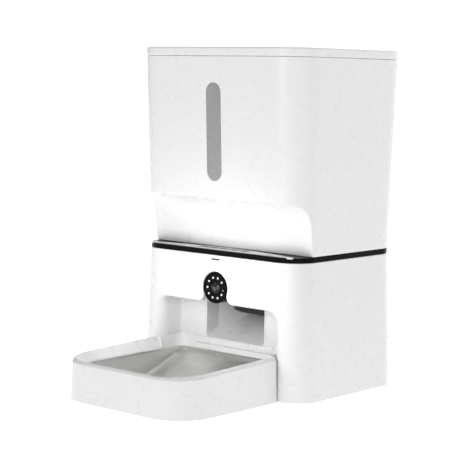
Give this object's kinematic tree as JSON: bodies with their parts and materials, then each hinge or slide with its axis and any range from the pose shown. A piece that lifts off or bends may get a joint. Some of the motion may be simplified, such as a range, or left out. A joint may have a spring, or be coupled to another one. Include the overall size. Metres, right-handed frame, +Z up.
{
  "type": "automatic pet feeder",
  "caption": "Free-standing dry-food feeder: lift-off hopper over a motor base with camera, sloped chute and a pull-out tray holding a steel bowl.",
  "frame": {"origin": "centre of the object's box on the floor, at the height of the feet's undersides", "axes": "+Z up through the lid; -Y towards the bowl and the camera; +X to the feeder's left-hand side as it faces out, right as seen from the front"},
  "size_m": [0.2888, 0.4078, 0.45],
  "materials": {
    "white_shell": "gloss white ABS",
    "black_gloss": "piano black",
    "black_inner": "satin black",
    "smoke_window": "smoked clear acrylic, backlit by nothing",
    "bowl_steel": "brushed stainless steel",
    "plain_steel": "turned steel",
    "zinc": "zinc plated",
    "dark_rubber": "matt rubber",
    "pale_silicone": "soft silicone",
    "key_grey": "satin grey",
    "nylon": "natural nylon",
    "circuit_green": "solder resist",
    "led_clear": "clear epoxy",
    "lens_glass": "coated dark lens",
    "cell_sleeve": "printed steel can, no lettering"
  },
  "bodies": {
    "base": {"base_shell": "white_shell", "base_floor": "white_shell", "foot_front_left": "dark_rubber", "foot_front_right": "dark_rubber", "foot_rear_left": "dark_rubber", "foot_rear_right": "dark_rubber", "base_screw_1": "zinc", "base_screw_2": "zinc", "base_screw_3": "zinc", "base_screw_4": "zinc", "deck_plate": "black_gloss", "control_panel": "white_shell", "key_board": "circuit_green", "throat_gasket": "pale_silicone", "camera_pod": "black_gloss", "camera_face": "black_gloss", "infrared_led_ring": "led_clear", "light_sensor": "led_clear", "camera_lens": "lens_glass", "camera_board": "circuit_green", "microphone_grille": "black_inner", "chute": "white_shell", "dispensing_cup": "black_inner", "gearbox_housing": "black_inner", "gearbox_plate": "black_inner", "gear_motor": "zinc", "battery_box": "black_inner", "battery_cell_1": "cell_sleeve", "battery_cell_2": "cell_sleeve", "battery_cell_3": "cell_sleeve", "main_board": "circuit_green", "power_inlet": "black_inner", "speaker": "black_inner"},
    "hopper": {"hopper_shell": "white_shell", "hopper_funnel": "white_shell", "level_window": "smoke_window"},
    "lid": {"lid": "white_shell", "lid_seal": "pale_silicone", "desiccant_holder": "white_shell", "desiccant_bag": "pale_silicone"},
    "desiccant_cap": {"desiccant_cap": "white_shell"},
    "rotor": {"paddle_rotor": "pale_silicone", "drive_shaft": "plain_steel", "stirring_arm": "nylon", "drive_gear": "nylon"},
    "pinion": {"motor_pinion": "zinc", "motor_shaft": "plain_steel"},
    "key_1": {"key_1": "key_grey"},
    "key_2": {"key_2": "key_grey"},
    "key_3": {"key_3": "key_grey"},
    "key_4": {"key_4": "key_grey"},
    "key_5": {"key_5": "key_grey"},
    "tray": {"bowl_tray": "white_shell", "tray_pad_left": "dark_rubber", "tray_pad_right": "dark_rubber"},
    "bowl": {"steel_bowl": "bowl_steel"},
    "battery_hatch": {"battery_hatch": "white_shell"}
  },
  "joints": [
    {"name": "hopper_lift", "type": "slide", "parent": "base", "child": "hopper", "axis": [0, 0, 1], "range_m": [0, 0.08]},
    {"name": "lid_lift", "type": "slide", "parent": "hopper", "child": "lid", "axis": [0, 0, 1], "range_m": [0, 0.06]},
    {"name": "desiccant_cap_turn", "type": "hinge", "parent": "lid", "child": "desiccant_cap", "pos_m": [0, 0.0844, 0.433], "axis": [0, 0, 1], "range_deg": [0, 60]},
    {"name": "rotor_spin", "type": "hinge", "parent": "base", "child": "rotor", "pos_m": [0, 0.1199, 0.1], "axis": [0, 0, 1], "continuous": true},
    {"name": "pinion_spin", "type": "hinge", "parent": "base", "child": "pinion", "pos_m": [0, 0.1559, 0.07], "axis": [0, 0, 1], "continuous": true},
    {"name": "key_1_press", "type": "slide", "parent": "base", "child": "key_1", "axis": [0, 0, -1], "range_m": [0, 0.001], "stiffness_N_per_m": 300, "springref_m": -0.0005},
    {"name": "key_2_press", "type": "slide", "parent": "base", "child": "key_2", "axis": [0, 0, -1], "range_m": [0, 0.001], "stiffness_N_per_m": 300, "springref_m": -0.0005},
    {"name": "key_3_press", "type": "slide", "parent": "base", "child": "key_3", "axis": [0, 0, -1], "range_m": [0, 0.001], "stiffness_N_per_m": 300, "springref_m": -0.0005},
    {"name": "key_4_press", "type": "slide", "parent": "base", "child": "key_4", "axis": [0, 0, -1], "range_m": [0, 0.001], "stiffness_N_per_m": 300, "springref_m": -0.0005},
    {"name": "key_5_press", "type": "slide", "parent": "base", "child": "key_5", "axis": [0, 0, -1], "range_m": [0, 0.001], "stiffness_N_per_m": 300, "springref_m": -0.0005},
    {"name": "tray_pull", "type": "slide", "parent": "base", "child": "tray", "axis": [0, -1, 0], "range_m": [0, 0.12]},
    {"name": "bowl_lift", "type": "slide", "parent": "tray", "child": "bowl", "axis": [0, 0, 1], "range_m": [0, 0.045]},
    {"name": "hatch_slide", "type": "slide", "parent": "base", "child": "battery_hatch", "axis": [1, 0, 0], "range_m": [0, 0.008]}
  ],
  "couplings": [
    {"joint": "pinion_spin", "follows": "rotor_spin", "ratio": -5}
  ]
}
